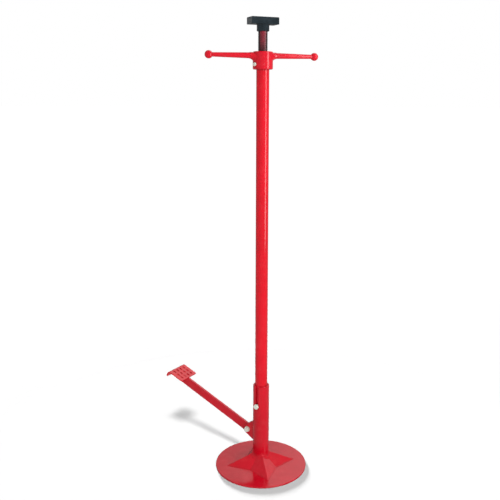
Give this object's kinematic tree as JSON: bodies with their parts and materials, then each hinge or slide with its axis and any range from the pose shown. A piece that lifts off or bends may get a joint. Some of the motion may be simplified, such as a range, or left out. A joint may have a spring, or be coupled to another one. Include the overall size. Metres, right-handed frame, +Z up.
{
  "type": "under-hoist support stand",
  "caption": "Tall support stand with a round base, a screw-raised column turned by a ball-ended spin handle, a T-shaped saddle and a foot pedal for quick lift.",
  "frame": {"origin": "on the floor, under the column's axis, at the centre of the base plate's underside", "axes": "+Z up along the column; the foot pedal points along -X; the pivot and guide bolts lie along Y with their heads on the -Y side"},
  "size_m": [0.5024, 0.286, 1.3835],
  "materials": {
    "red_paint": "gloss",
    "zinc_plate": "bright zinc plate",
    "bronze": "satin",
    "bearing_steel": "ground",
    "screw_steel": "black oxide, oiled",
    "saddle_iron": "satin black"
  },
  "bodies": {
    "base": {"base_plate": "red_paint", "star_gusset": "red_paint", "sleeve_tube": "red_paint", "pedal_ears": "red_paint", "pivot_washers": "zinc_plate", "pivot_bolt": "zinc_plate", "pivot_nut": "zinc_plate"},
    "pedal": {"pedal_arm": "red_paint", "pivot_bush": "bronze", "pedal_plate": "red_paint"},
    "column": {"column_tube": "red_paint", "column_foot": "red_paint", "guide_bolt": "zinc_plate", "guide_nut": "zinc_plate", "top_collar": "red_paint", "lower_race": "bearing_steel"},
    "ball_cage": {"bearing_balls": "bearing_steel", "bearing_cage": "bearing_steel"},
    "spin_handle": {"spin_handle": "red_paint", "upper_race": "bearing_steel", "retaining_bolts": "zinc_plate"},
    "lift_screw": {"lift_screw": "screw_steel", "stop_collar": "screw_steel", "stop_pin": "screw_steel"},
    "saddle": {"saddle": "saddle_iron", "saddle_pin": "screw_steel"}
  },
  "joints": [
    {"name": "column_lift", "type": "slide", "parent": "base", "child": "column", "axis": [0, 0, 1], "range_m": [0, 0.03673]},
    {"name": "pedal_pivot", "type": "hinge", "parent": "base", "child": "pedal", "pos_m": [-0.046, 0, 0.109], "axis": [0, -1, 0], "range_deg": [0, 38.6]},
    {"name": "handle_spin", "type": "hinge", "parent": "column", "child": "spin_handle", "pos_m": [0, 0, 1.2755], "axis": [0, 0, -1], "range_deg": [-3888, 46080]},
    {"name": "screw_lift", "type": "slide", "parent": "column", "child": "lift_screw", "axis": [0, 0, 1], "range_m": [-0.0541, 0.6401]},
    {"name": "cage_roll", "type": "hinge", "parent": "column", "child": "ball_cage", "pos_m": [0, 0, 1.262], "axis": [0, 0, -1], "range_deg": [-1945, 23041]},
    {"name": "saddle_swivel", "type": "hinge", "parent": "lift_screw", "child": "saddle", "pos_m": [0, 0, 1.354], "axis": [0, 0, 1], "continuous": true}
  ],
  "couplings": [
    {"joint": "pedal_pivot", "follows": "column_lift", "rad_per_m": 18.294},
    {"joint": "screw_lift", "follows": "handle_spin", "m_per_rad": 0.00079577},
    {"joint": "cage_roll", "follows": "handle_spin", "ratio": 0.5}
  ]
}
